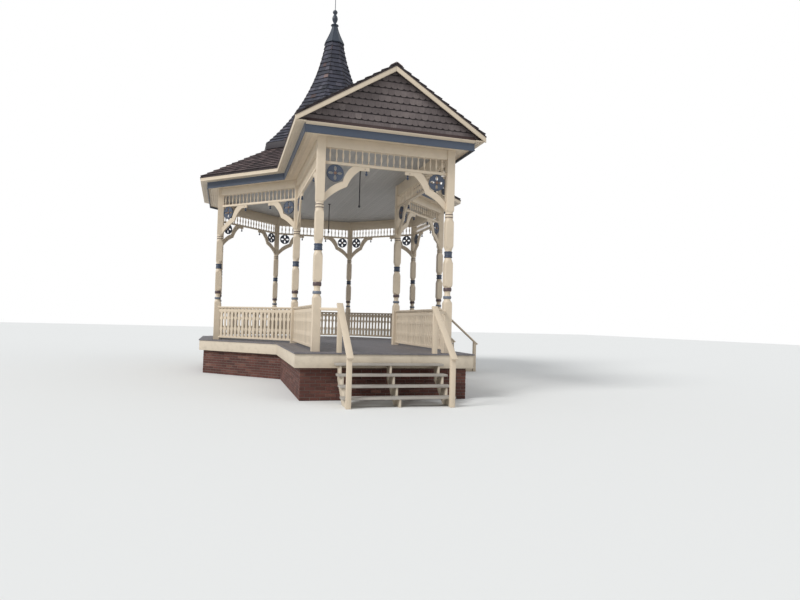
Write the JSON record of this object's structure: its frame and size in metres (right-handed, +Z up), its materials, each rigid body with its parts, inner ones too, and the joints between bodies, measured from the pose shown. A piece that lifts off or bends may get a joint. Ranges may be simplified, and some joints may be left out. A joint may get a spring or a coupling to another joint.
{
  "type": "bandstand",
  "caption": "Octagonal timber bandstand on a brick base, with turned posts, spindle friezes, a bowed pointed roof over a shingled skirt, a gabled porch and open stairs.",
  "frame": {"origin": "middle of the octagon on the ground", "axes": "+Z up, the porch and its stair face -Y, the side stair faces +X"},
  "size_m": [9.7064, 14.0364, 13.5],
  "materials": {
    "brick": "dark red-brown brick with pale joints",
    "rough_timber": "unpainted sawn timber",
    "cream_paint": "warm cream oil paint, slightly worn",
    "blue_paint": "slate-blue oil paint",
    "brown_paint": "dark brown stained boards",
    "floor_paint": "grey floor paint, worn",
    "stair_boards": "weathered grey-beige boards",
    "ceiling_paint": "light grey paint on boards",
    "wood_shingles": "weathered brown wood shingles",
    "gable_shingles": "grey-brown fish-scale shingles",
    "spire_slates": "dark blue-grey slates",
    "cap_metal": "dull blue-grey painted sheet metal",
    "dark_iron": "matt black"
  },
  "bodies": {
    "root": {"foundation_wall": "brick", "centre_pier": "brick", "rim_beams": "rough_timber", "floor_joists": "rough_timber", "deck_fascia": "cream_paint", "octagon_floor": "floor_paint", "porch_floor": "floor_paint", "front_stringers": "cream_paint", "side_stringers": "cream_paint", "front_treads": "stair_boards", "side_treads": "stair_boards", "front_newels": "cream_paint", "side_newels": "cream_paint", "front_handrails": "cream_paint", "side_handrails": "cream_paint", "octagon_posts": "cream_paint", "porch_posts": "cream_paint", "beams": "cream_paint", "octagon_friezes": "cream_paint", "porch_friezes": "cream_paint", "octagon_guards": "cream_paint", "porch_guards": "cream_paint", "brackets": "cream_paint", "corner_discs": "blue_paint", "drop_pendants": "blue_paint", "octagon_ceiling": "ceiling_paint", "porch_ceiling": "ceiling_paint", "hanging_rods": "dark_iron", "lower_soffit": "cream_paint", "cornice_band": "blue_paint", "upper_soffit": "cream_paint", "eave_boards": "cream_paint", "crown_moulding": "cream_paint", "skirt_roof": "wood_shingles", "porch_roof": "wood_shingles", "gable_wall": "gable_shingles", "rake_boards": "cream_paint", "collar": "brown_paint", "spire": "spire_slates", "spire_cap": "cap_metal", "finial": "cap_metal"}
  },
  "joints": []
}
